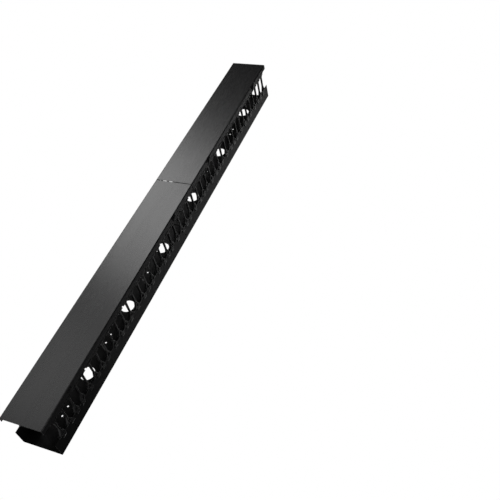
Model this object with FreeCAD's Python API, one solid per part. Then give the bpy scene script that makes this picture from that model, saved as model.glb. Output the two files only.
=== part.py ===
# Vertical cable manager for a rack: two butted steel channels carry combs of moulded
# fingers along both sides, and two hinged steel covers close the front.
# Millimetres. +Z runs up the rack, -Y is the cover side, +X is the right seen from the front.
# The origin lies at the bottom, in the middle of the width and of the depth.

import FreeCAD, Part
import os
from math import sin, sqrt, tan
from FreeCAD import Vector

# Overall sizes
finger_pitch = 44.45         # one rack unit
body_width = 168.0           # across the cover
body_depth = 178.0           # cover front to back plate rear
end_margin = 31.1            # cover end to the middle of the first half gap

# How the length is divided, counted in finger gaps from the top
fingers_per_comb = 4
upper_combs = 5
lower_combs = 6
seam_gap = 19                # the covers meet at this gap
clip_from_end = 3            # clips lie this many gaps from a cover's outer end
clip_from_seam = 4           # and this many from the seam

# Channels
channel_sheet = 1.8
channel_bend = 3.5
wall_reach = 68.0            # back plate rear to the wall's front edge
channel_setback = 7.0        # a channel's outer end stands back from the cover's end

# Pass-through holes in the back plates
hole_radius = 28.0
hole_pitch_units = 7
hole_from_top = 158.0        # cover's top end to the first hole's middle

# Mounting holes: pairs half way between the big holes, and one near each wall's end
mount_hole_radius = 3.5
mount_pair_spacing = 38.1
side_hole_radius = 3.5
side_hole_from_end = 98.0
side_hole_from_rear = 24.0

# Splice inside the back plate where the channels meet
splice_width = 110.0
splice_height = 72.0
splice_sheet = 2.0
splice_hole_x = 40.0
splice_hole_z = 21.0
screw_radius = 2.5
screw_head_radius = 4.5
screw_head_height = 2.8

# Finger combs
finger_thickness = 8.0
lip_thickness = 2.5          # the part of a comb outside the channel's wall
tee_front = 27.5             # cover front to the front of the finger heads
tee_depth = 6.0
tee_gap = 7.5
tee_chamfer = 3.0
stem_height_at_tee = 7.4
stem_height_at_root = 5.3
taper_length = 24.0          # of an opening, from where it starts to narrow to its rear
shoulder_radius = 20.0
root_half = 9.7              # half the height of an opening's rear, before its corners are rounded
root_radius = 7.0
rib_thickness = 4.4          # of the rib round each opening, beside a pocket
pocket_depth = 2.8           # pockets between the ribs, in both faces of a comb
web_depth = 3.5              # behind the openings
groove_depth = 2.0           # the wall's front edge sits this deep in the web
comb_clearance = 0.3
end_tee_depth = 1.8          # the half head at a free end is thinner
end_tee_radius = 11.0        # and runs into its finger in a wide curve
tongue_height = 18.3
tongue_reach = 17.0
tongue_taper = 3.5
tongue_shifts = (0.20, -0.03, -0.23, -0.07)   # down from each finger's middle, in pitches
hooked_tongues = (1, 3)
hook_height = 12.0
hook_depth = 6.0
hook_toe = 2.0
hook_thickness = 2.0
hook_from_rear = 1.0
fit = 0.1

# Covers
cover_sheet = 1.2
cover_bend = 2.4
cover_flange = 25.0
cover_seam = 3.0
relief_depth = 3.4           # the flange is narrower at a cover's outer end
relief_length = 33.0

# Pins across the gap between two finger heads
pin_radius = 1.4
pin_inset = 3.4              # pin's axis inside the cover's outer face
pin_bite = 6.0               # length held in each finger head
pin_play = 0.05

# Hinge clips and catches, whose heights are counted from the middle of their finger gap
clip_top = 10.2
clip_split = 1.1             # an upper pad stands above this height and a prouder part below it
clip_foot = 10.5
clip_front = 6.0             # cover front to the clip's front edge
clip_base = 1.0
clip_pad_front = 11.6        # cover front to the pads, behind the rivets
clip_pad_proud = 2.8
clip_proud = 4.0
rivet_radius = 1.5
rivet_head_radius = 1.9
rivet_head_height = 0.8
rivet_spacing = 8.4
rivet_depth = 8.6
knuckle_height = 6.8
knuckle_wall = 1.5
arm_thickness = 2.4
arm_length = 4.0             # of the part that stands on the clip's base
arm_rise = 1.5               # how far the arm runs on past the flange's edge
arm_clearance = 0.5
latch_plate_rear = 33.5      # cover front to the rear edge of the catch's upper pad
latch_tee_clearance = 0.5    # between that pad and the finger heads
latch_pivot_depth = 14.0
latch_pivot_proud = 2.2
latch_pin_radius = 0.9
latch_pin_bite = 7.8         # length of the pivot pin in the upper pad
latch_ear = 1.6
latch_ear_radius = 1.8
latch_gap = 0.15             # between the lever and the parts above and below it
latch_plate_inner = 1.0
latch_tail = 39.5            # cover front to the end of the lever
grip_top = 0.8
grip_foot = 3.3
grip_depth = 2.2
grip_reach = 2.2             # how far the grip passes the pin's axis
grip_gap = 0.2               # between the grip and the catch pin
stop_width = 2.0
stop_from_edge = 4.0         # flange's edge to the block that the lever rests on
overlap = 0.5                # how far joined shapes reach into each other

# Sizes worked out from the values above
half_width = body_width / 2
half_depth = body_depth / 2
finger_count = fingers_per_comb * (upper_combs + lower_combs)
total_height = 2 * end_margin + finger_count * finger_pitch
wall_front = body_depth - wall_reach
channel_half = half_width - lip_thickness
web_rear = wall_front + groove_depth
tongue_rear = web_rear + tongue_reach
opening_rear = web_rear - web_depth
shoulder_depth = opening_rear - taper_length
tee_rear = tee_front + tee_depth
stem_gap_at_tee = (finger_pitch - stem_height_at_tee) / 2
stem_gap_at_root = (finger_pitch - stem_height_at_root) / 2
root_slope = (stem_gap_at_root - root_half) / taper_length
pin_depth = tee_front + tee_depth / 2
hole_pitch = hole_pitch_units * finger_pitch


def gap_z(gap):
    """Height of the middle of a finger gap, counted from the top."""
    return total_height - end_margin - gap * finger_pitch


joint_z = gap_z(fingers_per_comb * upper_combs)
seam_z = gap_z(seam_gap)
upper_clip_gaps = (clip_from_end, seam_gap - clip_from_seam)
lower_clip_gaps = (seam_gap + clip_from_seam, finger_count - clip_from_end)


def at(proud, depth, z):
    """A point on the right side: proud of the cover's outer face, behind its front."""
    return Vector(half_width + proud, depth - half_depth, z)


def mirrored(shape):
    return shape.mirror(Vector(0, 0, 0), Vector(1, 0, 0))


def block(proud_low, proud_high, depth_low, depth_high, z_low, z_high):
    """A box on the right side."""
    corner = at(proud_low, depth_low, z_low)
    return Part.makeBox(proud_high - proud_low, depth_high - depth_low, z_high - z_low, corner)


def upright_prism(points, z_low, z_high):
    """A polygon of (proud, depth) points carried up from z_low to z_high."""
    corners = [at(proud, depth, z_low) for proud, depth in points]
    wire = Part.makePolygon(corners + corners[:1])
    return Part.Face(wire).extrude(Vector(0, 0, z_high - z_low))


def rounded_face(corners, place):
    """A flat face round corners (a, b, radius): each corner is an arc that touches both its
    sides. place turns a corner's two coordinates into a point in space."""
    bends = []
    for n, (a, b, radius) in enumerate(corners):
        here = Vector(a, b, 0)
        before = Vector(*corners[n - 1][:2], 0) - here
        after = Vector(*corners[(n + 1) % len(corners)][:2], 0) - here
        before.normalize()
        after.normalize()
        half = before.getAngle(after) / 2
        middle = before + after
        if radius:
            middle.normalize()
        reach = radius / tan(half)
        bends.append((here + before * reach, here + middle * (radius / sin(half) - radius),
                      here + after * reach, radius))
    edges = []
    for n, (start, middle, end, radius) in enumerate(bends):
        following = bends[(n + 1) % len(bends)][0]
        if radius:
            edges.append(Part.Arc(place(start), place(middle), place(end)).toShape())
        edges.append(Part.LineSegment(place(end), place(following)).toShape())
    return Part.Face(Part.Wire(edges))


def side_tool(corners, z_middle, proud_low, proud_high):
    """A shape seen from the side, with corners (depth, height above z_middle, radius)."""
    def place(corner):
        return at(proud_low, corner.x, z_middle + corner.y)

    return rounded_face(corners, place).extrude(Vector(proud_high - proud_low, 0, 0))


def upright_rod(radius, proud, depth, z_low, z_high):
    return Part.makeCylinder(radius, z_high - z_low, at(proud, depth, z_low), Vector(0, 0, 1))


def rounded_channel(half_outer, bend, sheet, y_closed, y_open, z_low, z_high):
    """A U of bent sheet: closed along y_closed, with its two walls ending at y_open."""
    way = 1 if y_open > y_closed else -1

    def outline(half, level, radius):
        """Points down one wall, round both bends and up the other wall."""
        turn = radius * (1 - sqrt(0.5))
        return [Vector(-half, y_open, z_low),
                Vector(-half, level + way * radius, z_low),
                Vector(-half + turn, level + way * turn, z_low),
                Vector(-half + radius, level, z_low),
                Vector(half - radius, level, z_low),
                Vector(half - turn, level + way * turn, z_low),
                Vector(half, level + way * radius, z_low),
                Vector(half, y_open, z_low)]

    def edges(p):
        return [Part.LineSegment(p[0], p[1]).toShape(), Part.Arc(p[1], p[2], p[3]).toShape(),
                Part.LineSegment(p[3], p[4]).toShape(), Part.Arc(p[4], p[5], p[6]).toShape(),
                Part.LineSegment(p[6], p[7]).toShape()]

    outer = outline(half_outer, y_closed, bend)
    inner = outline(half_outer - sheet, y_closed + way * sheet, max(bend - sheet, 0.3))
    ends = [Part.LineSegment(outer[0], inner[0]).toShape(),
            Part.LineSegment(inner[7], outer[7]).toShape()]
    wire = Part.Wire(Part.__sortEdges__(edges(outer) + edges(inner) + ends))
    return Part.Face(wire).extrude(Vector(0, 0, z_high - z_low))


def rear_hole(radius, x, z):
    return Part.makeCylinder(radius, 6 * channel_sheet, Vector(x, half_depth - 3 * channel_sheet, z),
                             Vector(0, 1, 0))


def tongue_middles():
    """Each tongue's height, with whether it carries a hook."""
    middles = []
    for finger in range(finger_count):
        place = finger % fingers_per_comb
        shift = tongue_shifts[place % len(tongue_shifts)]
        z = gap_z(finger + 0.5) - shift * finger_pitch
        middles.append((z, place % len(tongue_shifts) in hooked_tongues))
    return middles


hook_rear = tongue_rear - hook_from_rear
hook_front = hook_rear - hook_depth


def wall_window(z):
    """A tool for the window in the right wall that a tongue's hook passes through."""
    reach = 3 * channel_sheet
    return block(-lip_thickness - reach, -lip_thickness + reach,
                 hook_front - 3 * fit, hook_rear + 3 * fit,
                 z - hook_height / 2 - 3 * fit, z + hook_height / 2 + 3 * fit)


def channel(z_low, z_high):
    """One channel between two heights, with every hole that falls on it."""
    shape = rounded_channel(channel_half, channel_bend, channel_sheet,
                            half_depth, wall_front - half_depth, z_low, z_high)
    tools = []
    first_z = total_height - hole_from_top
    count = int(total_height // hole_pitch) + 1
    for n in range(count):
        z = first_z - n * hole_pitch
        if z_low < z - hole_radius and z + hole_radius < z_high:
            tools.append(rear_hole(hole_radius, 0, z))
    for z in mount_pair_heights():
        if z_low < z < z_high:
            tools.append(rear_hole(mount_hole_radius, 0, z - mount_pair_spacing / 2))
            tools.append(rear_hole(mount_hole_radius, 0, z + mount_pair_spacing / 2))
    for z in (z_low + side_hole_from_end, z_high - side_hole_from_end):
        start = Vector(-half_width, half_depth - side_hole_from_rear, z)
        tools.append(Part.makeCylinder(side_hole_radius, body_width, start, Vector(1, 0, 0)))
    for z, hooked in tongue_middles():
        if hooked and z_low < z < z_high:
            window = wall_window(z)
            tools += [window, mirrored(window)]
    for x, z in splice_places():
        if z_low < z < z_high:
            tools.append(rear_hole(screw_radius + fit / 2, x, z))
    return shape.cut(Part.makeCompound(tools))


def mount_pair_heights():
    """Middles of the pairs of mounting holes, leaving out the one at the splice."""
    heights = []
    first_z = total_height - hole_from_top - hole_pitch / 2
    lowest = channel_setback + mount_pair_spacing
    z = first_z
    while z > lowest:
        if abs(z - joint_z) > splice_height / 2 + mount_pair_spacing:
            heights.append(z)
        z -= hole_pitch
    return heights


def splice_places():
    return [(x, joint_z + z) for x in (-splice_hole_x, splice_hole_x)
            for z in (-splice_hole_z, splice_hole_z)]


def splice_plate():
    front = half_depth - channel_sheet - splice_sheet
    plate = Part.makeBox(splice_width, splice_sheet, splice_height,
                         Vector(-splice_width / 2, front, joint_z - splice_height / 2))
    tools = [rear_hole(screw_radius + fit / 2, x, z) for x, z in splice_places()]
    return plate.cut(Part.makeCompound(tools))


def splice_screws():
    """Screws with their heads inside, flush with the back plate's rear."""
    front = half_depth - channel_sheet - splice_sheet
    screws = []
    for x, z in splice_places():
        shank = Part.makeCylinder(screw_radius, channel_sheet + splice_sheet, Vector(x, front, z),
                                  Vector(0, 1, 0))
        head = Part.makeCylinder(screw_head_radius, screw_head_height,
                                 Vector(x, front - screw_head_height, z), Vector(0, 1, 0))
        screws.append(shank.fuse(head).removeSplitter())
    return Part.makeCompound(screws)


def ring_opening(z_middle):
    """A tool for the space between two fingers: narrow at the heads, tapered at the root."""
    upper = [(tee_front - 1, tee_gap / 2, 0), (tee_rear, tee_gap / 2, 0),
             (tee_rear, stem_gap_at_tee - tee_chamfer, 0), (tee_rear + tee_chamfer, stem_gap_at_tee, 0),
             (shoulder_depth, stem_gap_at_root, shoulder_radius), (opening_rear, root_half, root_radius)]
    lower = [(depth, -height, radius) for depth, height, radius in reversed(upper)]
    return side_tool(upper + lower, z_middle, -finger_thickness - 1, 1)


def free_end(z_middle, way):
    """A tool for half an opening at a comb's free end, where the half head is thinner."""
    end_tee_rear = tee_front + end_tee_depth
    drops = [(tee_front - 1, tee_gap / 2, 0), (end_tee_rear, tee_gap / 2, 0),
             (end_tee_rear, stem_gap_at_tee, end_tee_radius),
             (shoulder_depth, stem_gap_at_root, shoulder_radius), (opening_rear, root_half, root_radius),
             (opening_rear, -1, 0), (tee_front - 1, -1, 0)]
    corners = [(depth, -way * drop, radius) for depth, drop, radius in drops]
    return side_tool(corners, z_middle, -finger_thickness - 1, 1)


def pockets(z_middle):
    """Tools for the two pockets at a finger's root, three-cornered between the ribs."""
    half = finger_pitch / 2 - root_half - rib_thickness * sqrt(1 + root_slope ** 2)
    corners = [(opening_rear - half / root_slope, 0, 0), (opening_rear, -half, 0), (opening_rear, half, 0)]
    return [side_tool(corners, z_middle, -pocket_depth, 1),
            side_tool(corners, z_middle, -finger_thickness - 1, pocket_depth - finger_thickness)]


def tongue(z, hooked):
    """A flat tongue along the wall's outside, with a hook through the window if it has one."""
    front = web_rear - overlap
    pieces = [upright_prism([(-lip_thickness, front), (0, front), (0, tongue_rear - tongue_taper),
                             (-lip_thickness / 2, tongue_rear), (-lip_thickness, tongue_rear)],
                            z - tongue_height / 2, z + tongue_height / 2)]
    if hooked:
        inside = -lip_thickness - channel_sheet - fit
        pieces.append(upright_prism([(-lip_thickness, hook_front), (-lip_thickness, hook_rear),
                                     (inside, hook_rear), (inside, hook_rear + hook_toe),
                                     (inside - hook_thickness, hook_rear - hook_toe),
                                     (inside - hook_thickness, hook_front)],
                                    z - hook_height / 2, z + hook_height / 2))
    return pieces


def right_comb(number):
    """One moulded comb of the right side, counted from the top."""
    first_gap = number * fingers_per_comb
    z_high = gap_z(first_gap)
    z_low = gap_z(first_gap + fingers_per_comb)
    body = block(-finger_thickness, 0, tee_front, web_rear,
                 z_low + comb_clearance / 2, z_high - comb_clearance / 2)
    tools = []
    for gap in range(first_gap, first_gap + fingers_per_comb + 1):
        if 0 < gap < finger_count:
            tools.append(ring_opening(gap_z(gap)))
        else:
            tools.append(free_end(gap_z(gap), 1 if gap == 0 else -1))
    for finger in range(first_gap, first_gap + fingers_per_comb):
        tools += pockets(gap_z(finger + 0.5))
    tools.append(block(-lip_thickness - channel_sheet - fit / 2, -lip_thickness + fit / 2,
                       wall_front - fit, web_rear + 1, z_low - 1, z_high + 1))
    for gap in upper_clip_gaps + lower_clip_gaps:
        if z_low - pin_bite < gap_z(gap) < z_high + pin_bite:
            tools.append(pin(gap_z(gap), pin_play / 2))
    body = body.cut(Part.makeCompound(tools))
    tongues = []
    for z, hooked in tongue_middles():
        if z_low < z < z_high:
            tongues += tongue(z, hooked)
    return body.fuse(tongues).removeSplitter()


def pin(z, play=0.0):
    """A steel pin across the gap between two finger heads."""
    reach = tee_gap / 2 + pin_bite
    return upright_rod(pin_radius + play, -pin_inset, pin_depth, z - reach, z + reach)


def cover(z_low, z_high, relief_at_top):
    """A cover of bent sheet, with its flanges cut back at the outer end."""
    shape = rounded_channel(half_width, cover_bend, cover_sheet,
                            -half_depth, cover_flange - half_depth, z_low, z_high)
    z_relief = z_high - relief_length if relief_at_top else z_low - 1
    tool = Part.makeBox(body_width + 2, relief_depth + 1, relief_length + 1,
                        Vector(-half_width - 1, cover_flange - relief_depth - half_depth, z_relief))
    tools = [tool]
    for gap in upper_clip_gaps if relief_at_top else lower_clip_gaps:
        for z in rivet_heights(gap):
            start = Vector(-half_width - 1, rivet_depth - half_depth, z)
            tools.append(Part.makeCylinder(rivet_radius + fit / 4, body_width + 2, start, Vector(1, 0, 0)))
    return shape.cut(Part.makeCompound(tools))


def rivet_heights(gap):
    return (gap_z(gap), gap_z(gap) + rivet_spacing)


def rivets(gaps):
    """Rivets through a cover's right flange and the base of a clip."""
    solids = []
    for gap in gaps:
        for z in rivet_heights(gap):
            inner = at(-cover_sheet, rivet_depth, z)
            shank = Part.makeCylinder(rivet_radius, cover_sheet + clip_base, inner, Vector(1, 0, 0))
            head = Part.makeCylinder(rivet_head_radius, rivet_head_height, at(clip_base, rivet_depth, z),
                                     Vector(1, 0, 0))
            tail = Part.makeCylinder(rivet_head_radius, rivet_head_height,
                                     at(-cover_sheet - rivet_head_height, rivet_depth, z), Vector(1, 0, 0))
            solids.append(shank.fuse([head, tail]).removeSplitter())
    return Part.makeCompound(solids)


def rivet_holes(gap):
    return [Part.makeCylinder(rivet_radius + fit / 4, clip_base + 2, at(-1, rivet_depth, z), Vector(1, 0, 0))
            for z in rivet_heights(gap)]


def hinge_clip(gap):
    """A moulded clip on the cover's right flange that turns on the pin between two heads."""
    z = gap_z(gap)
    knuckle_radius = pin_radius + pin_play + knuckle_wall
    diagonal = knuckle_radius * sqrt(0.5)
    base = block(0, clip_base, clip_front, cover_flange, z - clip_foot, z + clip_top)
    pads = [block(0, clip_pad_proud, clip_pad_front, cover_flange, z + clip_split, z + clip_top),
            block(0, clip_proud, clip_pad_front, cover_flange, z - clip_foot, z + clip_split)]
    arm = upright_prism([(0, cover_flange - arm_length), (arm_thickness, cover_flange - arm_length),
                         (arm_thickness, cover_flange + arm_rise),
                         (diagonal - pin_inset, pin_depth + diagonal),
                         (-pin_inset, pin_depth), (diagonal - pin_inset, pin_depth - diagonal),
                         (0, cover_flange + arm_clearance)],
                        z - knuckle_height / 2, z + knuckle_height / 2)
    knuckle = upright_rod(knuckle_radius, -pin_inset, pin_depth,
                          z - knuckle_height / 2, z + knuckle_height / 2)
    bore = upright_rod(pin_radius + pin_play, -pin_inset, pin_depth, z - clip_foot, z + clip_top)
    shape = base.fuse(pads + [arm, knuckle])
    return shape.cut(Part.makeCompound([bore] + rivet_holes(gap))).removeSplitter()


def latch_pivot(z_low, z_high, radius):
    return upright_rod(radius, latch_pivot_proud, latch_pivot_depth, z_low, z_high)


def latch_bracket(gap):
    """A bracket on the cover's flange that holds the lever's pin between its pad and its ear."""
    z = gap_z(gap)
    split = z + clip_split + latch_gap
    ear_top = z - clip_foot - latch_gap
    foot = ear_top - latch_ear
    base = block(0, clip_base, clip_front, clip_pad_front, foot, z + clip_top)
    pad = [block(0, clip_pad_proud, clip_pad_front, cover_flange, split, z + clip_top),
           block(latch_tee_clearance, clip_pad_proud, cover_flange - overlap, latch_plate_rear,
                 split, z + clip_top)]
    ear = [upright_prism([(0, clip_front), (clip_base, clip_front),
                          (latch_pivot_proud, latch_pivot_depth - latch_ear_radius),
                          (latch_pivot_proud, latch_pivot_depth + latch_ear_radius),
                          (0, latch_pivot_depth + latch_ear_radius)], foot, ear_top),
           latch_pivot(foot, ear_top, latch_ear_radius)]
    bore = latch_pivot(foot - 1, z + clip_split + latch_pin_bite, latch_pin_radius + pin_play / 2)
    shape = base.fuse(pad + ear)
    return shape.cut(Part.makeCompound([bore] + rivet_holes(gap))).removeSplitter()


def latch_pins(gaps):
    foot = clip_foot + latch_gap + latch_ear
    return Part.makeCompound([latch_pivot(gap_z(gap) - foot, gap_z(gap) + clip_split + latch_pin_bite,
                                          latch_pin_radius) for gap in gaps])


def latch_lever(gap):
    """A lever that swings outwards on its pin and draws its grip from behind the catch pin."""
    z = gap_z(gap)
    low, high = z - clip_foot, z + clip_split
    barrel = latch_pivot(low, high, clip_proud - latch_pivot_proud)
    plate = block(latch_plate_inner, clip_proud, latch_pivot_depth, latch_tail, low, high)
    grip_front = pin_depth + pin_radius + grip_gap
    grip = block(-pin_inset - grip_reach, latch_plate_inner + overlap,
                 grip_front, grip_front + grip_depth, z - grip_foot, z + grip_top)
    stop_rear = cover_flange - stop_from_edge
    stop = block(fit, latch_plate_inner + overlap, stop_rear - stop_width, stop_rear, low, high)
    bore = latch_pivot(low - 1, high + 1, latch_pin_radius + pin_play / 2)
    return barrel.fuse([plate, grip, stop]).cut(bore).removeSplitter()


def save(shape, name):
    shape.exportStep("parts/" + name + ".step")


os.makedirs("parts", exist_ok=True)

save(channel(joint_z, total_height - channel_setback), "upper_channel")
save(channel(channel_setback, joint_z), "lower_channel")
save(splice_plate(), "splice_plate")
save(splice_screws(), "splice_screws")

for number in range(upper_combs + lower_combs):
    comb = right_comb(number)
    save(comb, "right_comb_%02d" % (number + 1))
    save(mirrored(comb), "left_comb_%02d" % (number + 1))

all_clip_gaps = upper_clip_gaps + lower_clip_gaps
pins = Part.makeCompound([pin(gap_z(gap)) for gap in all_clip_gaps])
save(pins, "hinge_pins")
save(mirrored(pins), "catch_pins")

save(cover(seam_z + cover_seam / 2, total_height, True), "upper_cover")
save(cover(0, seam_z - cover_seam / 2, False), "lower_cover")
for name, gaps in (("upper", upper_clip_gaps), ("lower", lower_clip_gaps)):
    save(rivets(gaps), name + "_hinge_rivets")
    save(mirrored(rivets(gaps)), name + "_latch_rivets")
    save(mirrored(latch_pins(gaps)), name + "_latch_pins")

for number, gap in enumerate(all_clip_gaps, 1):
    save(hinge_clip(gap), "hinge_clip_%d" % number)
    save(mirrored(latch_bracket(gap)), "latch_bracket_%d" % number)
    save(mirrored(latch_lever(gap)), "latch_lever_%d" % number)
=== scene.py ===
import math

import bpy
import numpy as np
from mathutils import Matrix, Vector
from mathutils.geometry import tessellate_polygon


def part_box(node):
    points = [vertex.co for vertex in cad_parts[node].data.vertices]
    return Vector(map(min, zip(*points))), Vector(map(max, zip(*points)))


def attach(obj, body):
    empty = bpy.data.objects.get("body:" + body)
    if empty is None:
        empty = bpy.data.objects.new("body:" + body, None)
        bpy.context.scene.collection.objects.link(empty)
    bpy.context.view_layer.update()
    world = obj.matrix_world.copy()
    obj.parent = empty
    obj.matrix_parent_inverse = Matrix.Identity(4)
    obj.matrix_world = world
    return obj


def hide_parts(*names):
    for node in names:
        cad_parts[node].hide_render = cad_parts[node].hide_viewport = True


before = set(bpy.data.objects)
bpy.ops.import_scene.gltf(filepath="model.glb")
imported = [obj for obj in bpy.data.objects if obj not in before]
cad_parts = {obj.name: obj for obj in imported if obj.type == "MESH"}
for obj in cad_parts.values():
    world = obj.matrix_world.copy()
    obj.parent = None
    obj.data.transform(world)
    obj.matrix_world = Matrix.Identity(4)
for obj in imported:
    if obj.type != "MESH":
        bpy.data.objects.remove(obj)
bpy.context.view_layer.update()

# Back channels. Two U-shaped lengths of bent sheet steel carry everything else. They are punched
# for cables and screws, coated with dull black powder and joined end to end by an inner plate
# with four screws.


class Value:
    """A shader socket in an expression: each operator adds one Math node and gives its output."""

    def __init__(self, nodes, socket):
        self.nodes = nodes
        self.socket = socket

    def combine(self, operation, first, second):
        return self.nodes.node("Math", {"operation": operation}, {0: first, 1: second})

    def __add__(self, other):
        return self.combine("ADD", self, other)

    def __radd__(self, other):
        return self.combine("ADD", other, self)

    def __mul__(self, other):
        return self.combine("MULTIPLY", self, other)

    def __rmul__(self, other):
        return self.combine("MULTIPLY", other, self)


class Nodes:
    """A node tree under construction, with one way to add a node."""

    def __init__(self, tree):
        self.tree = tree

    def node(self, kind, settings=None, inputs=None, output=0):
        """Adds a node: its settings first, then the values or links of its sockets."""
        made = self.tree.nodes.new("ShaderNode" + kind)
        for name, value in (settings or {}).items():
            setattr(made, name, value)
        for name, value in (inputs or {}).items():
            self.feed(made.inputs[name], value)
        return Value(self, made.outputs[output])

    def feed(self, socket, value):
        """Links a Value to a socket, or writes a plain number or colour into it."""
        if isinstance(value, Value):
            self.tree.links.new(value.socket, socket)
        else:
            socket.default_value = value


class Finish(Nodes):
    """A material under construction, whose patterns lie on Object coordinates."""

    def __init__(self, name):
        self.material = bpy.data.materials.new(name)
        self.material.use_nodes = True
        super().__init__(self.material.node_tree)
        self.shader = self.tree.nodes["Principled BSDF"]
        self.place = self.node("TexCoord", output="Object")

    def noise(self, size_mm, detail=2.0, stretch=(1, 1, 1)):
        """Noise from 0 to 1 whose blots are about size_mm across."""
        where = self.node("Mapping", None, {"Vector": self.place, "Scale": stretch})
        return self.node("TexNoise", None, {"Vector": where, "Scale": 1000 / size_mm, "Detail": detail})

    def shade(self, mask, dark, light):
        """Between two linear colours by a mask."""
        return self.node("Mix", {"data_type": "RGBA"},
                         {"Factor": mask, 6: (*dark, 1), 7: (*light, 1)}, output=2)

    def bump(self, height, depth_mm):
        """A bumped normal whose waves are depth_mm deep where the height goes from 0 to 1."""
        return self.node("Bump", None, {"Height": height, "Strength": 1.0, "Distance": depth_mm / 1000})

    def set(self, **inputs):
        """Feeds the shader's own sockets and gives the finished material."""
        for name, value in inputs.items():
            self.feed(self.shader.inputs[name.replace("_", " ")], value)
        return self.material


def powder_coat(name, roughness, specular):
    """Black powder coat: a fine orange peel, a dry grain on it, and faintly uneven gloss."""
    coat = Finish(name)
    peel = coat.noise(1.6, 2.0)
    grain = coat.noise(0.35, 1.0)
    wipe = coat.noise(60.0, 3.0, (1, 1, 0.25))
    colour = coat.shade(wipe * 0.6 + grain * 0.4, (0.0065, 0.0065, 0.0068), (0.0105, 0.0105, 0.011))
    height = peel * 0.8 + grain * 0.2
    return coat.set(Base_Color=colour, Roughness=roughness + 0.06 * wipe + 0.04 * grain,
                    Specular_IOR_Level=specular, Normal=coat.bump(height, 0.035))


def blackened_steel():
    """Small steel parts blackened in a bath: a dark sheen with rubbed spots."""
    steel = Finish("blackened_steel")
    rub = steel.noise(2.5, 3.0)
    colour = steel.shade(rub, (0.05, 0.05, 0.052), (0.16, 0.16, 0.165))
    return steel.set(Base_Color=colour, Metallic=0.9, Roughness=0.25 + 0.15 * rub)


def dress(names, material):
    """Gives CAD nodes a material in every slot."""
    for name in names:
        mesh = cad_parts[name].data
        mesh.materials.clear()
        mesh.materials.append(material)


EASED_ANGLE = math.radians(35)      # an edge that turns more than this is rounded


def ease(names, width_mm):
    """Rounds the sharp edges of CAD nodes by modifiers. Their own meshes stay as they are."""
    for name in names:
        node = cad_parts[name]
        node.modifiers.new("one_skin", "WELD").merge_threshold = 1e-6
        bevel = node.modifiers.new("rounded_edges", "BEVEL")
        bevel.width = width_mm / 1000
        bevel.segments = 3
        bevel.limit_method = "ANGLE"
        bevel.angle_limit = EASED_ANGLE
        node.modifiers.new("broad_faces_stay_flat", "WEIGHTED_NORMAL")


channel_coat = powder_coat("dull_powder_coat", roughness=0.28, specular=0.07)
dark_steel = blackened_steel()
dress(["upper_channel", "lower_channel", "splice_plate"], channel_coat)
dress(["splice_screws"], dark_steel)
ease(["splice_screws"], width_mm=0.6)

# Finger combs. Each is one moulding of glossy black plastic with four fingers, and eleven of them
# stand on each other along both walls. A groove in the back of the web takes the wall's edge, and
# flat tongues lie along the wall's outside, every second one hooked through a window.
FINGERS = 4                 # of one comb
COMBS = 11                  # on each side
COMB_CLEARANCE = 0.3        # between two combs, in millimetres, as every size here
EDGE = 0.9                  # radius of a comb's moulded edges
END_EDGE = 0.55             # the same on the two end combs
SHARP_ANGLE = math.radians(40)
MITRE_LIMIT = 1.6           # of the longer step that a sharp corner takes
FACE_SHARE = 1.35           # of the edge: how far inside its outline a flat face begins
AXES = {"x": (2, 0, 1), "y": (1, 2, 0), "z": (0, 1, 2)}


def box_mm(node):
    """Lowest and highest corner of a CAD node, in millimetres."""
    return tuple(np.array(corner) * 1000 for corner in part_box(node))


side_x = box_mm("upper_cover")[1][0]
front_y = box_mm("upper_cover")[0][1]
comb_low, comb_high = box_mm("right_comb_02")
pitch = (comb_high[2] - box_mm("right_comb_03")[1][2]) / FINGERS
top_gap = comb_high[2] + COMB_CLEARANCE / 2 + FINGERS * pitch


def gap_z(gap):
    """Height of the middle of a finger gap, counted from the top."""
    return top_gap - gap * pitch


def rounded(corners, steps=10):
    """An outline through corners (a, b, radius): each corner becomes an arc that touches both of
    its sides, with its centre on the half angle, so that point = centre + radius × direction."""
    c = np.array(corners, float)
    here, radius = c[:, :2], c[:, 2:3]
    to_last = np.roll(here, 1, 0) - here
    to_next = np.roll(here, -1, 0) - here
    to_last /= np.linalg.norm(to_last, axis=1, keepdims=True)
    to_next /= np.linalg.norm(to_next, axis=1, keepdims=True)
    half = np.arccos(np.clip((to_last * to_next).sum(1, keepdims=True), -1, 1)) / 2
    bisector = to_last + to_next
    bisector /= np.linalg.norm(bisector, axis=1, keepdims=True)
    centre = here + bisector * radius / np.sin(half)
    first = here + to_last * radius / np.tan(half) - centre
    last = here + to_next * radius / np.tan(half) - centre
    share = np.linspace(0, 1, steps + 1)[None, :, None]
    turn = (math.pi - 2 * half)[:, None, :]
    arc = first[:, None] * np.sin((1 - share) * turn) + last[:, None] * np.sin(share * turn)
    points = (centre[:, None] + arc / np.sin(turn)).reshape(-1, 2)
    apart = np.linalg.norm(points - np.roll(points, 1, 0), axis=1) > 1e-6
    return points[apart]


def inward(outline):
    """Unit steps into the outline's inside at each point, longer at a sharp corner so that the
    sides move in evenly. The outline runs anticlockwise."""
    ahead = np.roll(outline, -1, 0) - outline
    ahead /= np.linalg.norm(ahead, axis=1, keepdims=True)
    left = np.stack([-ahead[:, 1], ahead[:, 0]], 1)
    both = left + np.roll(left, 1, 0)
    length = np.linalg.norm(both, axis=1, keepdims=True)
    return both / length * np.clip(2 / length, 1, MITRE_LIMIT)


def stations(outline, insets, levels):
    """Rings of points: the outline moved in by each inset, at each level."""
    flatwise = outline[None] + insets[:, None, None] * inward(outline)[None]
    height = np.broadcast_to(levels[:, None, None], flatwise.shape[:2] + (1,))
    return np.concatenate([flatwise, height], 2)


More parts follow.
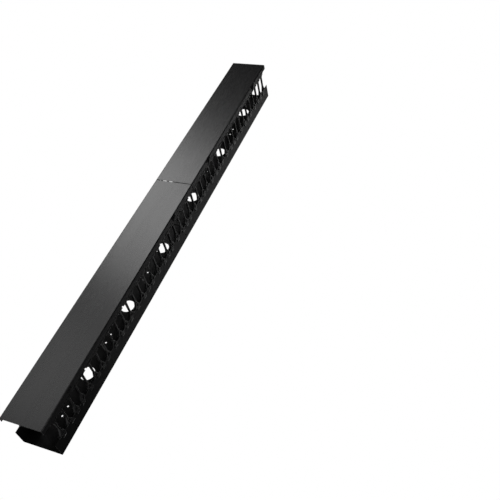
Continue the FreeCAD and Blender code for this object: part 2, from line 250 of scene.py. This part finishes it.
def skin(rings):
    """Quads between neighbouring rings of points, shape (rings, points, 3). They face outwards
    where the rings run anticlockwise and follow each other upwards."""
    count, around = rings.shape[:2]
    index = np.arange(count * around).reshape(count, around)
    aside = np.roll(index, -1, 1)
    return np.stack([index[:-1], aside[:-1], aside[1:], index[1:]], 2).reshape(-1, 4).tolist()


def loft(rings):
    """A closed skin over rings with one flat face on each end. Returns (points, faces)."""
    count, around = rings.shape[:2]
    first, last = np.arange(around), np.arange(around) + (count - 1) * around
    return rings.reshape(-1, 3), skin(rings) + [first[::-1].tolist(), last.tolist()]


def rim(low, high, edge, steps=3):
    """Stations (level, inset) from low to high with both rims rounded: at angle t the level is
    edge × (1 - sin t) from the end and the outline stands edge × (1 - cos t) inside."""
    t = np.linspace(math.pi / 2, 0, steps + 1)
    rise = edge * (1 - np.sin(t))
    inset = edge * (1 - np.cos(t))
    face = [edge * FACE_SHARE]
    levels = np.concatenate([[low], low + rise, (high - rise)[::-1], [high]])
    return levels, np.concatenate([face, inset, inset[::-1], face])


def bar(outline, low, high, edge, along, flat=None):
    """The outline carried along an axis with rounded rims. Its two coordinates are the axes that
    follow that axis in turn: (y, z) for x, (z, x) for y, (x, y) for z. Points that flat marks
    keep their place, so that a neighbour meets them on a full face."""
    levels, insets = rim(low, high, edge)
    rings = stations(outline, insets, levels)
    if flat is not None:
        rings[:, flat, :2] = outline[flat]
    return loft(rings[:, :, AXES[along]])


def make(name, shells, body, material, nodes, mirrored=False):
    """One piece from closed shells in millimetres, which stands for CAD nodes."""
    points, faces, start = [], [], 0
    for shell_points, shell_faces in shells:
        points.append(shell_points)
        faces += [[start + i for i in face] for face in shell_faces]
        start += len(shell_points)
    points = np.concatenate(points) / 1000
    if mirrored:
        points = points * (-1, 1, 1)
        faces = [face[::-1] for face in faces]
    mesh = bpy.data.meshes.new(name)
    mesh.from_pydata(points.tolist(), [], faces)
    mesh.shade_smooth()
    mesh.set_sharp_from_angle(angle=SHARP_ANGLE)
    mesh.materials.append(material)
    piece = bpy.data.objects.new(name, mesh)
    bpy.context.scene.collection.objects.link(piece)
    broad = piece.modifiers.new("broad_faces_stay_flat", "WEIGHTED_NORMAL")
    broad.keep_sharp = True
    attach(piece, body)
    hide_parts(*nodes)
    return piece


def glossy_moulding():
    """Glossy black plastic: shallow flow waves, a trace of grain, and gloss that varies a little."""
    plastic = Finish("glossy_moulding")
    flow = plastic.noise(14.0, 2.0)
    grain = plastic.noise(0.5, 2.0)
    haze = plastic.noise(35.0, 3.0)
    colour = plastic.shade(haze, (0.007, 0.007, 0.0075), (0.013, 0.013, 0.0135))
    return plastic.set(Base_Color=colour, Roughness=0.20 + 0.10 * haze + 0.04 * grain,
                       Normal=plastic.bump(flow * 0.9 + grain * 0.1, 0.12))


TEE_DEPTH = 6.0             # of a finger's head
TEE_GAP_HALF = 3.75         # half the gap between two heads
TEE_RADIUS = 1.6
TEE_CHAMFER = 3.0           # of the slope between a head and its stem
CHAMFER_RADIUS = 1.0
STEM_HALF = 3.7             # half a stem's height behind its head
SHOULDER_DEPTH = 84.5       # from the cover's front to where an opening starts to narrow
SHOULDER_HALF = 2.65        # half a stem's height there
SHOULDER_RADIUS = 20.0
ROOT_GAP = 9.7              # half an opening's height at its rear
ROOT_RADIUS = 7.0
END_TEE = 1.8               # depth of the half head at a free end
END_TEE_RADIUS = 11.0       # of the curve behind it
END_HEAD_RADIUS = 0.8
WEB_DEPTH = 3.5             # of the web behind the openings
GROOVE_DEPTH = 2.1
GROOVE_EDGE = 0.3           # radius of the lips' edges on the groove's side
LIP = 2.45                  # thickness of the lip outside the groove
INNER_LIP = 4.35            # from the comb's outside to the lip inside the groove
LIP_EDGE = 0.2
RIB = 4.4                   # thickness of the rib round an opening
POCKET_DEPTH = 2.8
POCKET_RADIUS = 1.6
POCKET_EDGE = 0.5
TONGUE_REACH = 17.0         # of a tongue behind the web
TONGUE_HALF = 9.15          # half a tongue's height
TONGUE_TAPER = 3.5          # length over which its end thins
TONGUE_EDGE = 0.5
TONGUE_BEND = 2.0           # radius where it starts to thin
TONGUE_TIP = 0.6
SMALL_RADIUS = 0.1          # of corners that hardly show
TONGUE_SHIFTS = (0.20, -0.03, -0.23, -0.07)     # of each finger's tongue below it, in pitches
WALL_SHEET = 1.8
HOOK_HALF = 6.0             # half a hook's height
HOOK_LENGTH = 6.0           # in the wall's window
HOOK_SHEET = 2.0            # its thickness inside the wall, and its reach behind the window
HOOK_FROM_END = 1.0         # from a tongue's end
HOOK_PLAY = 0.15            # between hook and wall
HOOK_OVERLAP = 0.1          # of hook and tongue
HOOK_EDGE = 0.3
HOOK_RADIUS = 0.4
TOUCH = 0.01                # lines this close count as one

thickness = comb_high[0] - comb_low[0]
tee_front = comb_low[1]
tee_rear = tee_front + TEE_DEPTH
tongue_rear = comb_high[1]
web_rear = tongue_rear - TONGUE_REACH
groove_floor = web_rear - GROOVE_DEPTH
root_y = web_rear - WEB_DEPTH
shoulder_y = front_y + SHOULDER_DEPTH
stem_gap = pitch / 2 - STEM_HALF
shoulder_gap = pitch / 2 - SHOULDER_HALF


def half_opening(gap, way):
    """Half the space between two fingers, from the web to the heads, below the gap's middle for
    a way of -1 and above it for 1. At a free end the half head is thin and runs in a curve."""
    if gap in (0, FINGERS * COMBS):
        head = [(tee_front + END_TEE, stem_gap, END_TEE_RADIUS),
                (tee_front + END_TEE, TEE_GAP_HALF, END_HEAD_RADIUS),
                (tee_front, TEE_GAP_HALF, END_HEAD_RADIUS)]
    else:
        head = [(tee_rear + TEE_CHAMFER, stem_gap, CHAMFER_RADIUS),
                (tee_rear, stem_gap - TEE_CHAMFER, CHAMFER_RADIUS),
                (tee_rear, TEE_GAP_HALF, TEE_RADIUS), (tee_front, TEE_GAP_HALF, TEE_RADIUS)]
    taper = [(root_y, ROOT_GAP, ROOT_RADIUS), (shoulder_y, shoulder_gap, SHOULDER_RADIUS)]
    return [(y, gap_z(gap) + way * height, radius) for y, height, radius in taper + head]


def comb_outline(first_gap):
    """The comb from its side, as (y, z): down the fingers from the top, then up the web's back."""
    top = gap_z(first_gap) - COMB_CLEARANCE / 2
    foot = gap_z(first_gap + FINGERS) + COMB_CLEARANCE / 2
    corners = [(groove_floor, top, 0), (root_y, top, 0)]
    for gap in range(first_gap, first_gap + FINGERS):
        corners += half_opening(gap, -1) + half_opening(gap + 1, 1)[::-1]
    corners += [(root_y, foot, 0), (groove_floor, foot, 0)]
    return rounded(corners), foot, top


def pocket_rings(z):
    """The three-cornered pocket between two ribs at a finger's root, as rings (y, z, depth). The
    rim rolls over by a quarter circle, and another quarter circle runs into the floor."""
    slope = (shoulder_gap - ROOT_GAP) / (root_y - shoulder_y)
    half = pitch / 2 - ROOT_GAP - RIB * math.hypot(1, slope)
    outline = rounded([(root_y - half / slope, z, POCKET_RADIUS), (root_y, z - half, POCKET_RADIUS),
                       (root_y, z + half, POCKET_RADIUS)], 5)
    t = np.linspace(0, math.pi / 2, 4)
    over, into = POCKET_EDGE * (1 - np.cos(t)), POCKET_EDGE * (1 - np.sin(t))
    depth = np.concatenate([[0], over, POCKET_DEPTH - into, [POCKET_DEPTH]])
    face = POCKET_EDGE * FACE_SHARE
    inset = np.concatenate([[-face], -into, over, [face]])
    return stations(outline, inset, depth)


def pocketed_plate(outline, flat, pockets, low, high, edge):
    """The comb's plate: a rounded wall round the outline, pockets sunk in both faces, and each
    face filled between its rim and its pockets. x = high - depth on one face and low + depth on
    the other, where every face is turned round."""
    levels, insets = rim(low, high, edge)
    wall = stations(outline, insets, levels)
    wall[:, flat, :2] = outline[flat]
    points, faces, total = [wall.reshape(-1, 3)], skin(wall), wall[..., 0].size
    around = len(outline)
    for outer, level, way in ((total - around, high, -1), (0, low, 1)):
        rings, owners = [wall.reshape(-1, 3)[outer:outer + around]], [np.arange(around) + outer]
        for pocket in pockets:
            here = np.arange(pocket[..., 0].size) + total
            total += len(here)
            rings.append(pocket[0])
            owners.append(here[:len(pocket[0])])
            floor = here[-len(pocket[0]):].tolist()
            sunk = [[here[0] + i for i in face] for face in skin(pocket)] + [floor]
            faces += [face[::-way] for face in sunk]
            points.append(pocket.reshape(-1, 3) * (1, 1, way) + (0, 0, level))
        corners = np.array(tessellate_polygon([ring[:, :2].tolist() for ring in rings]))
        a, b, c = (np.concatenate(rings)[corners[:, k]] for k in range(3))
        turned = (b[:, 0] - a[:, 0]) * (c[:, 1] - a[:, 1]) - (b[:, 1] - a[:, 1]) * (c[:, 0] - a[:, 0])
        corners[turned * way > 0] = corners[turned * way > 0, ::-1]
        faces += np.concatenate(owners)[corners[np.abs(turned) > 1e-9]].tolist()
    return np.concatenate(points)[:, AXES["x"]], faces


def tongue_shells(z, hooked):
    """A tongue on the wall's outside, and its hook on the wall's inside."""
    lip_x = side_x - LIP
    outer = rounded([(lip_x, web_rear - EDGE, 0), (side_x, web_rear - EDGE, 0),
                     (side_x, tongue_rear - TONGUE_TAPER, TONGUE_BEND),
                     (side_x - LIP / 2, tongue_rear, TONGUE_TIP),
                     (lip_x, tongue_rear, 2 * SMALL_RADIUS)], 4)
    in_web = outer[:, 1] < web_rear - EDGE / 2
    shells = [bar(outer, z - TONGUE_HALF, z + TONGUE_HALF, TONGUE_EDGE, "z", in_web)]
    if hooked:
        inside = lip_x - WALL_SHEET - HOOK_PLAY
        rear = tongue_rear - HOOK_FROM_END
        hook = rounded([(inside - HOOK_SHEET, rear - HOOK_LENGTH, HOOK_RADIUS),
                        (lip_x + HOOK_OVERLAP, rear - HOOK_LENGTH, SMALL_RADIUS),
                        (lip_x + HOOK_OVERLAP, rear, SMALL_RADIUS), (inside, rear, SMALL_RADIUS),
                        (inside, rear + HOOK_SHEET, HOOK_RADIUS),
                        (inside - HOOK_SHEET, rear - HOOK_SHEET, HOOK_RADIUS)], 3)
        shells.append(bar(hook, z - HOOK_HALF, z + HOOK_HALF, HOOK_EDGE, "z"))
    return shells


def comb_shells(number):
    """One comb of the right side: the toothed plate, the two lips beside the groove, and tongues.
    The thin half head at a free end takes a finer edge."""
    edge = END_EDGE if number in (0, COMBS - 1) else EDGE
    first_gap = number * FINGERS
    outline, foot, top = comb_outline(first_gap)
    back = outline[:, 0] > groove_floor - TOUCH
    pockets = [pocket_rings(gap_z(first_gap + finger + 0.5)) for finger in range(FINGERS)]
    shells = [pocketed_plate(outline, back, pockets, side_x - thickness, side_x, edge)]
    for inner, outer in ((side_x - LIP, side_x), (side_x - thickness, side_x - INNER_LIP)):
        near, far = (GROOVE_EDGE, EDGE) if outer == side_x else (EDGE, GROOVE_EDGE)
        lip = rounded([(inner, groove_floor, 0), (outer, groove_floor, 0),
                       (outer, web_rear, far), (inner, web_rear, near)], 4)
        shells.append(bar(lip, foot, top, LIP_EDGE, "z", lip[:, 1] < groove_floor + TOUCH))
    for finger in range(FINGERS):
        z = gap_z(first_gap + finger + 0.5) - TONGUE_SHIFTS[finger] * pitch
        shells += tongue_shells(z, finger % 2 == 1)
    return shells


moulding = glossy_moulding()
for number in range(COMBS):
    shells = comb_shells(number)
    for side in ("right", "left"):
        node = "%s_comb_%02d" % (side, number + 1)
        make("%s_fingers_%02d" % (side, number + 1), shells, "frame", moulding,
             [node], side == "left")

# Pins. Short steel rods are pressed into the heads on both sides of four gaps. The covers turn
# on those of the right side and are caught on those of the left.
dress(["hinge_pins", "catch_pins"], dark_steel)
ease(["hinge_pins", "catch_pins"], width_mm=0.4)

# Covers. Each is one sheet bent into a shallow tray with two flanges, in a glossier coat than the
# channels. The flanges are a little narrower near the cover's outer end, where the combs stop.
COVER_SHEET = 1.2
COVER_BEND = 3.6            # outer radius
COVER_EDGE = 0.35           # radius of the rims at the cover's ends
FLANGE_EDGE = 0.5
RELIEF = 3.4                # of the narrower stretch
RELIEF_LENGTH = 33.0


def cover_shells(node, relief_at_top):
    """The tray's section, a U of even thickness, carried up the cover. The flange ends step back
    where the relief begins, on two rings at one height."""
    low, high = box_mm(node)
    x, y, rear = high[0], low[1], high[1]
    inner_x, inner_y = x - COVER_SHEET, y + COVER_SHEET
    inner_bend = COVER_BEND - COVER_SHEET
    section = rounded([(-x, rear, FLANGE_EDGE), (-x, y, COVER_BEND), (x, y, COVER_BEND),
                       (x, rear, FLANGE_EDGE), (inner_x, rear, FLANGE_EDGE),
                       (inner_x, inner_y, inner_bend), (-inner_x, inner_y, inner_bend),
                       (-inner_x, rear, FLANGE_EDGE)], 6)
    levels, insets = rim(low[2], high[2], COVER_EDGE)
    step_z = high[2] - RELIEF_LENGTH if relief_at_top else low[2] + RELIEF_LENGTH
    middle = len(levels) // 2
    levels = np.insert(levels, middle, [step_z, step_z])
    insets = np.insert(insets, middle, [0, 0])
    order = np.arange(len(levels))
    relieved = order > middle if relief_at_top else order <= middle
    at_rear = section[:, 1] > rear - 2 * FLANGE_EDGE
    rings = stations(section, insets, levels)
    rings[:, :, 1] -= relieved[:, None] * at_rear[None] * RELIEF
    return [loft(rings)]


cover_coat = powder_coat("satin_powder_coat", roughness=0.22, specular=0.5)
for node in ("upper_cover", "lower_cover"):
    make(node + "_tray", cover_shells(node, node == "upper_cover"), node, cover_coat,
         [node])

# Clips, brackets and levers. Moulded hinge clips, catch levers and the brackets that carry them
# sit on the outsides of the covers' flanges. Steel rivets with domed heads hold them.
clips = ["hinge_clip_%d" % n for n in range(1, 5)] + ["latch_lever_%d" % n for n in range(1, 5)]
brackets = ["latch_bracket_%d" % n for n in range(1, 5)]
rivets = ["%s_%s" % (cover, part) for cover in ("upper", "lower")
          for part in ("hinge_rivets", "latch_rivets")]
pivots = ["upper_latch_pins", "lower_latch_pins"]
dress(clips, moulding)
dress(brackets, cover_coat)
dress(rivets + pivots, dark_steel)
ease(clips, width_mm=0.5)
ease(brackets, width_mm=0.2)
ease(rivets, width_mm=0.7)
ease(pivots, width_mm=0.2)

# Studio. The manager hangs at the height where it is bolted to a rack. A white floor lies far
# below it, the world is white to the camera, and soft boxes light it.
FLOOR_Z = -1.2
FLOOR_REACH = 20.0
FLOOR_COLOUR = (0.85, 0.85, 0.85, 1)
FLOOR_GLOW = 1.2
GLOW_SHARE = 0.75           # of what the camera sees of the floor; the rest keeps the shadow
ROOM_LEVEL = 0.03           # of the world to all other rays
WHITE = (1, 1, 1, 1)
LENS_MM = 46.735
CAMERA_PLACE = Vector((1.2998, -1.8177, -0.5349))
CAMERA_AIM = Vector((0.4126, 0.0, 0.9263))
CAMERA_ROLL = math.radians(25.917)


def background_rays(nodes):
    """1 for a ray from the camera or through glass, and 0 for any other."""
    return (nodes.node("LightPath", output="Is Camera Ray")
            + nodes.node("LightPath", output="Is Transmission Ray"))


def studio_floor():
    """A wide white floor that keeps a trace of the object's shadow."""
    mesh = bpy.data.meshes.new("floor")
    mesh.from_pydata([(-FLOOR_REACH, -FLOOR_REACH, FLOOR_Z), (FLOOR_REACH, -FLOOR_REACH, FLOOR_Z),
                      (FLOOR_REACH, FLOOR_REACH, FLOOR_Z), (-FLOOR_REACH, FLOOR_REACH, FLOOR_Z)],
                     [], [(0, 1, 2, 3)])
    floor = bpy.data.objects.new("floor", mesh)
    bpy.context.scene.collection.objects.link(floor)
    white = Finish("floor_white")
    glow = white.node("Emission", None, {"Color": WHITE, "Strength": FLOOR_GLOW})
    matt = white.node("BsdfDiffuse", None, {"Color": FLOOR_COLOUR})
    mixed = white.node("MixShader", None, {0: background_rays(white) * GLOW_SHARE, 1: matt, 2: glow})
    white.feed(white.tree.nodes["Material Output"].inputs["Surface"], mixed)
    mesh.materials.append(white.material)


def studio_world():
    """White to the camera, and a dim grey room to everything else."""
    world = bpy.data.worlds.new("studio")
    bpy.context.scene.world = world
    world.use_nodes = True
    room = Nodes(world.node_tree)
    background = room.tree.nodes["Background"]
    room.feed(background.inputs["Color"], WHITE)
    room.feed(background.inputs["Strength"],
              room.node("MapRange", None, {"Value": background_rays(room), "To Min": ROOM_LEVEL}))


def soft_box(name, place, aim, width, height, level):
    """A rectangular lamp whose face has the given brightness: power = level × pi × area."""
    lamp = bpy.data.lights.new(name, "AREA")
    lamp.shape = "RECTANGLE"
    lamp.size, lamp.size_y = width, height
    lamp.energy = level * math.pi * width * height
    box = bpy.data.objects.new(name, lamp)
    box.location = Vector(place)
    box.rotation_mode = "QUATERNION"
    box.rotation_quaternion = (Vector(aim) - Vector(place)).to_track_quat("-Z", "Y")
    box.visible_camera = False
    bpy.context.scene.collection.objects.link(box)


studio_floor()
studio_world()
soft_box("front_left_box", (-2.81, -4.10, 4.40), aim=(0, 0, 1.04), width=2.2, height=1.9, level=4.7)
soft_box("low_left_box", (-3.3, -4.6, 2.0), aim=(0, 0, 0.6), width=2.2, height=1.6, level=1.7)
soft_box("right_back_box", (1.1, 4.1, 4.3), aim=(0, 0, 0.9), width=1.2, height=4.4, level=1.8)
soft_box("left_back_box", (-3.0, 3.0, 2.6), aim=(0, 0, 1.04), width=1.6, height=1.6, level=1.5)
for side, x, y in (("front", 0.6, -6.0), ("right", 6.0, -0.6), ("back", -0.6, 6.0), ("left", -6.0, 0.0)):
    soft_box(side + "_fill", (x, y, 0.5), aim=(0, 0, 0.9), width=2.4, height=3.0, level=1.6)

lens = bpy.data.cameras.new("camera")
lens.lens = LENS_MM
lens.clip_start, lens.clip_end = 0.05, 60.0
camera = bpy.data.objects.new("camera", lens)
facing = (CAMERA_AIM - CAMERA_PLACE).to_track_quat("-Z", "Y")
camera.matrix_world = (Matrix.Translation(CAMERA_PLACE) @ facing.to_matrix().to_4x4()
                       @ Matrix.Rotation(CAMERA_ROLL, 4, "Z"))
bpy.context.scene.collection.objects.link(camera)
bpy.context.scene.camera = camera
bpy.context.scene.view_settings.view_transform = "Standard"
